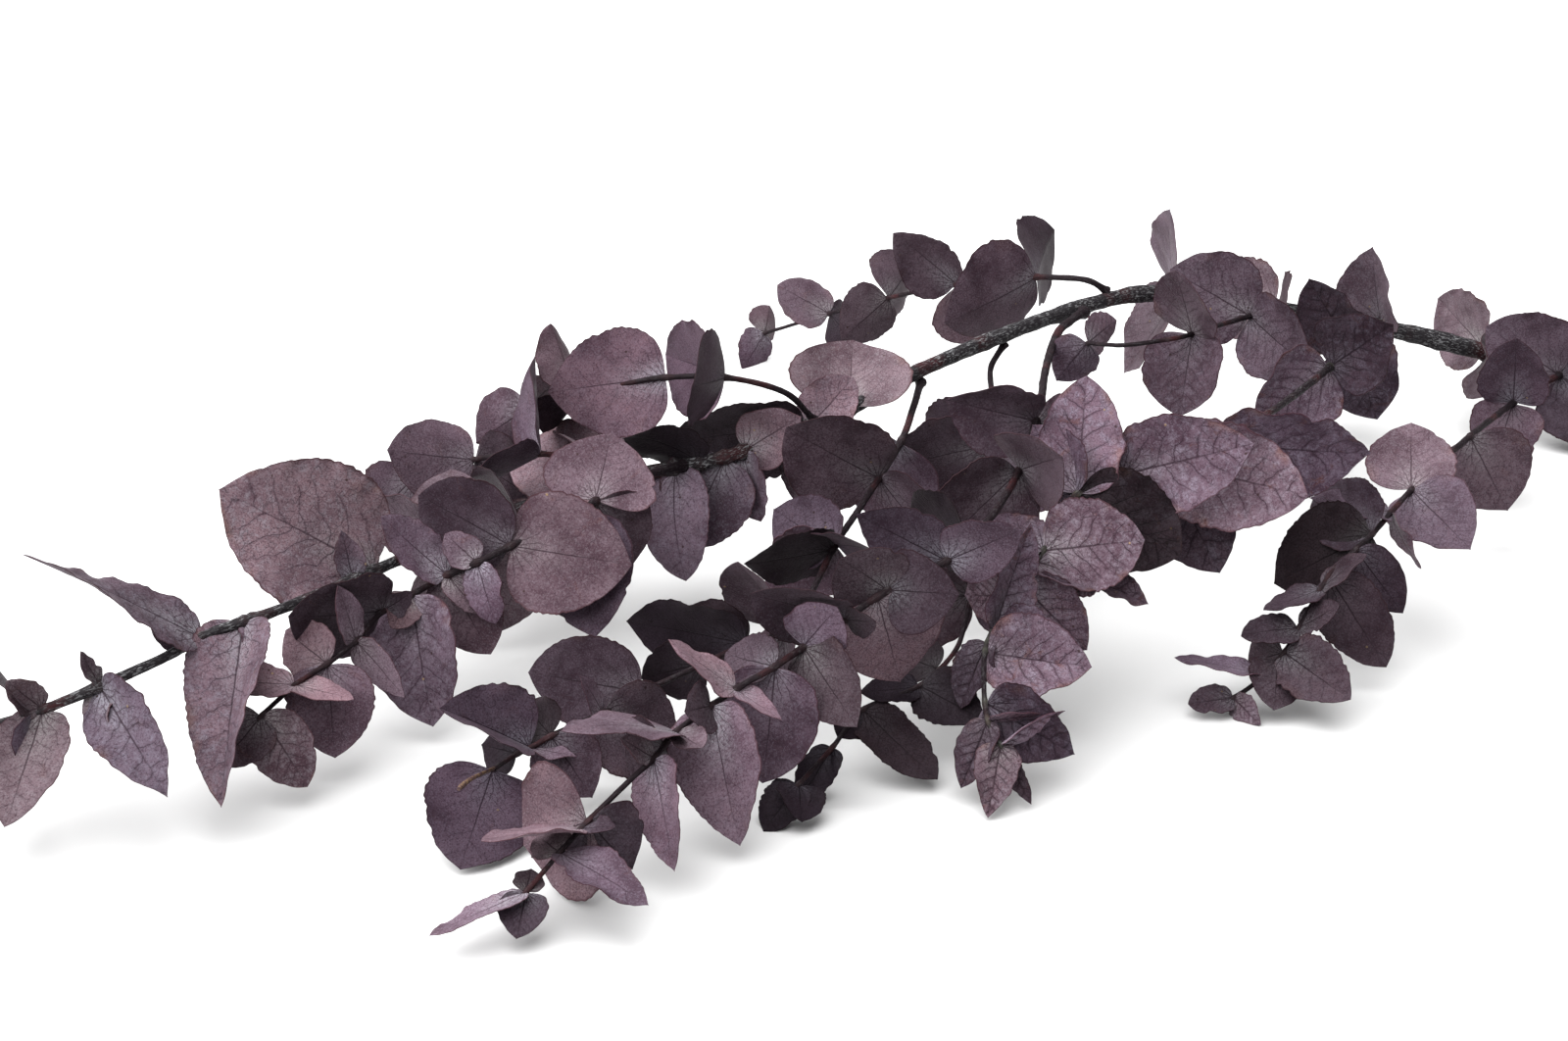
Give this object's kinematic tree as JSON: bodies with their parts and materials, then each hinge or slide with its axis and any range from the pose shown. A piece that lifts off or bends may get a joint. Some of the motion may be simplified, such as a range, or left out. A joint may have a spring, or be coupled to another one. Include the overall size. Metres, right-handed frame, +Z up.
{
  "type": "preserved eucalyptus stem",
  "caption": "Cut branching stem laid on a flat surface, arched in the middle, with side shoots of round stalkless leaves in opposite pairs, dyed plum grey.",
  "frame": {"origin": "on the surface that the stem lies on, under the middle of its bounding box", "axes": "+X along the stem towards its cut end, +Y away from the side shoots' tips, +Z up"},
  "size_m": [0.6339, 0.4776, 0.1005],
  "materials": {
    "main_stem": "matt dyed and preserved leaf on a dark brown twig",
    "front_shoot": "matt dyed and preserved leaf on a dark brown twig",
    "second_shoot": "matt dyed and preserved leaf on a dark brown twig",
    "left_shoot": "matt dyed and preserved leaf on a dark brown twig",
    "drooping_shoot": "matt dyed and preserved leaf on a dark brown twig",
    "right_shoot": "matt dyed and preserved leaf on a dark brown twig",
    "under_shoot": "matt dyed and preserved leaf on a dark brown twig",
    "middle_back_shoot": "matt dyed and preserved leaf on a dark brown twig",
    "left_back_shoot": "matt dyed and preserved leaf on a dark brown twig",
    "right_back_shoot": "matt dyed and preserved leaf on a dark brown twig",
    "far_back_shoot": "matt dyed and preserved leaf on a dark brown twig"
  },
  "bodies": {
    "root": {"main_stem": "main_stem", "front_shoot": "front_shoot", "second_shoot": "second_shoot", "left_shoot": "left_shoot", "drooping_shoot": "drooping_shoot", "right_shoot": "right_shoot", "under_shoot": "under_shoot", "middle_back_shoot": "middle_back_shoot", "left_back_shoot": "left_back_shoot", "right_back_shoot": "right_back_shoot", "far_back_shoot": "far_back_shoot"}
  },
  "joints": []
}
